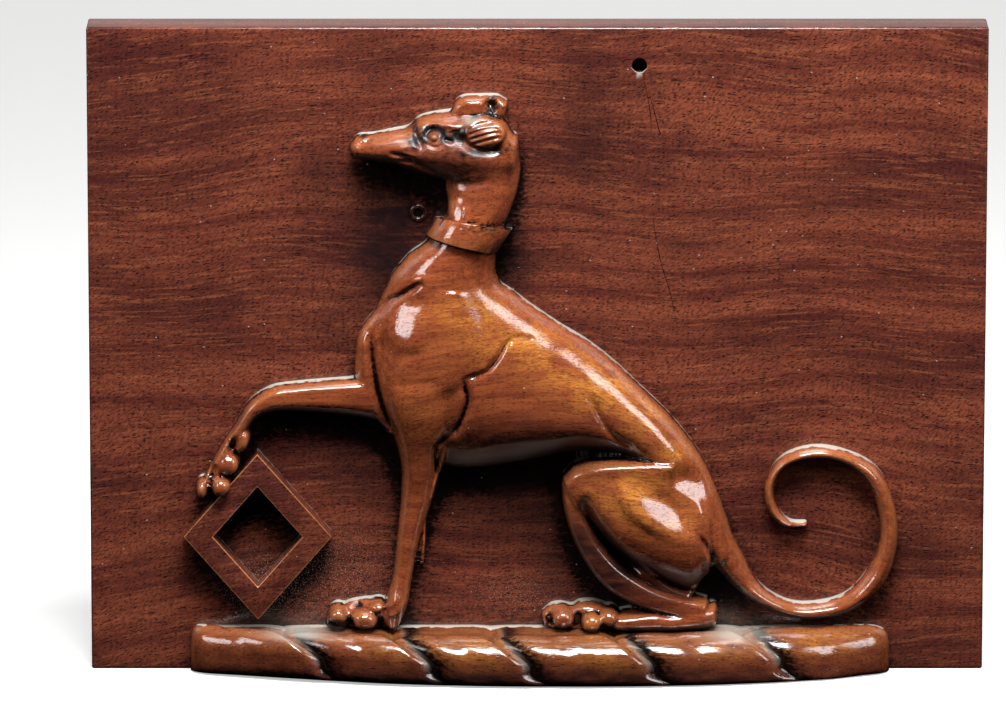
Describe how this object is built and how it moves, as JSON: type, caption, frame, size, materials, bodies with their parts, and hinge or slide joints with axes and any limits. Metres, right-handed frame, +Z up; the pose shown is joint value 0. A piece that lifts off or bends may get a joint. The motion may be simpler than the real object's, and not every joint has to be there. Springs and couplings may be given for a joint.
{
  "type": "carved wooden armorial crest panel",
  "caption": "Mahogany panel carved in high relief with a seated greyhound, one paw on a lozenge frame, above a twisted bar; it stands on its bottom edge.",
  "frame": {"origin": "middle of the base, under the centre of the part's box; the underside lies at z = 0", "axes": "+X to the viewer's right along the board, +Z up, the carved face towards -Y and the plain back towards +Y"},
  "size_m": [0.305, 0.0479, 0.223],
  "materials": {
    "mahogany": "polished, with dust in the hollows"
  },
  "bodies": {
    "root": {"carved_panel": "mahogany"}
  },
  "joints": []
}
